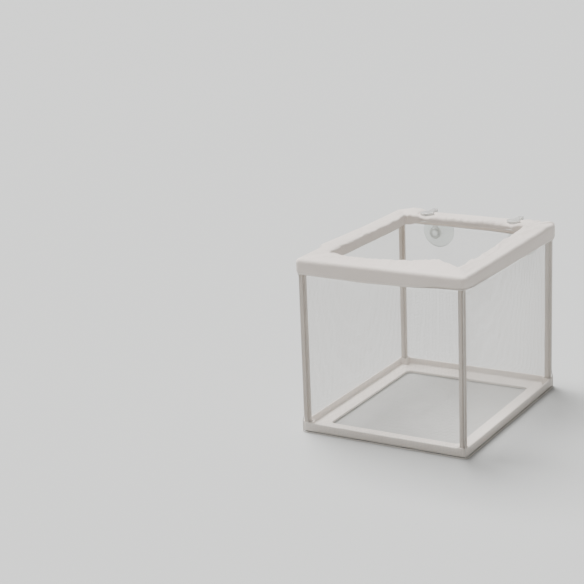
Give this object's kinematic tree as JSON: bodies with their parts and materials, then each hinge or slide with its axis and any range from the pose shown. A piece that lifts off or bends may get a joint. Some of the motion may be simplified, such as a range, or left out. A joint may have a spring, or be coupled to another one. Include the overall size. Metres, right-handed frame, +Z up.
{
  "type": "fish breeding box",
  "caption": "Open-topped bag of fine net pulled over a light plastic frame with corner posts, hung in a fish tank by suction cups.",
  "frame": {"origin": "on the standing surface, under the middle of the whole object's outline in plan, suction cups included", "axes": "+Z up; +X to the right along the short front rail; +Y from the front rail to the suction cups at the back"},
  "size_m": [0.132, 0.1768, 0.1326],
  "materials": {
    "frame_plastic": "moulded white plastic, satin",
    "post_plastic": "moulded grey-white plastic, satin",
    "hem_cloth": "close-woven white polyester",
    "net_cloth": "fine white nylon mesh",
    "seam_thread": "white sewing thread over a rolled edge",
    "elastic": "round white elastic",
    "clear_plastic": "clear moulded plastic",
    "clear_pvc": "clear soft PVC"
  },
  "bodies": {
    "box": {"bottom_frame": "frame_plastic", "post_front_left": "post_plastic", "post_front_right": "post_plastic", "post_back_left": "post_plastic", "post_back_right": "post_plastic", "top_frame": "frame_plastic", "hem_band": "hem_cloth", "hem_elastic": "elastic", "net_front": "net_cloth", "net_back": "net_cloth", "net_left": "net_cloth", "net_right": "net_cloth", "net_floor": "net_cloth", "seam_front_left": "seam_thread", "seam_front_right": "seam_thread", "seam_back_left": "seam_thread", "seam_back_right": "seam_thread", "seam_head": "seam_thread", "seam_floor": "seam_thread"},
    "hanger_left": {"hanger_left": "clear_plastic"},
    "hanger_right": {"hanger_right": "clear_plastic"},
    "cup_left": {"suction_cup_left": "clear_pvc"},
    "cup_right": {"suction_cup_right": "clear_pvc"}
  },
  "joints": [
    {"name": "hanger_left_lift", "type": "slide", "parent": "box", "child": "hanger_left", "axis": [0, 0, 1], "range_m": [0, 0.005]},
    {"name": "hanger_right_lift", "type": "slide", "parent": "box", "child": "hanger_right", "axis": [0, 0, 1], "range_m": [0, 0.005]},
    {"name": "cup_left_turn", "type": "hinge", "parent": "hanger_left", "child": "cup_left", "pos_m": [-0.036, 0.0884, 0.112], "axis": [0, 1, 0], "continuous": true},
    {"name": "cup_right_turn", "type": "hinge", "parent": "hanger_right", "child": "cup_right", "pos_m": [0.036, 0.0884, 0.112], "axis": [0, 1, 0], "continuous": true}
  ]
}
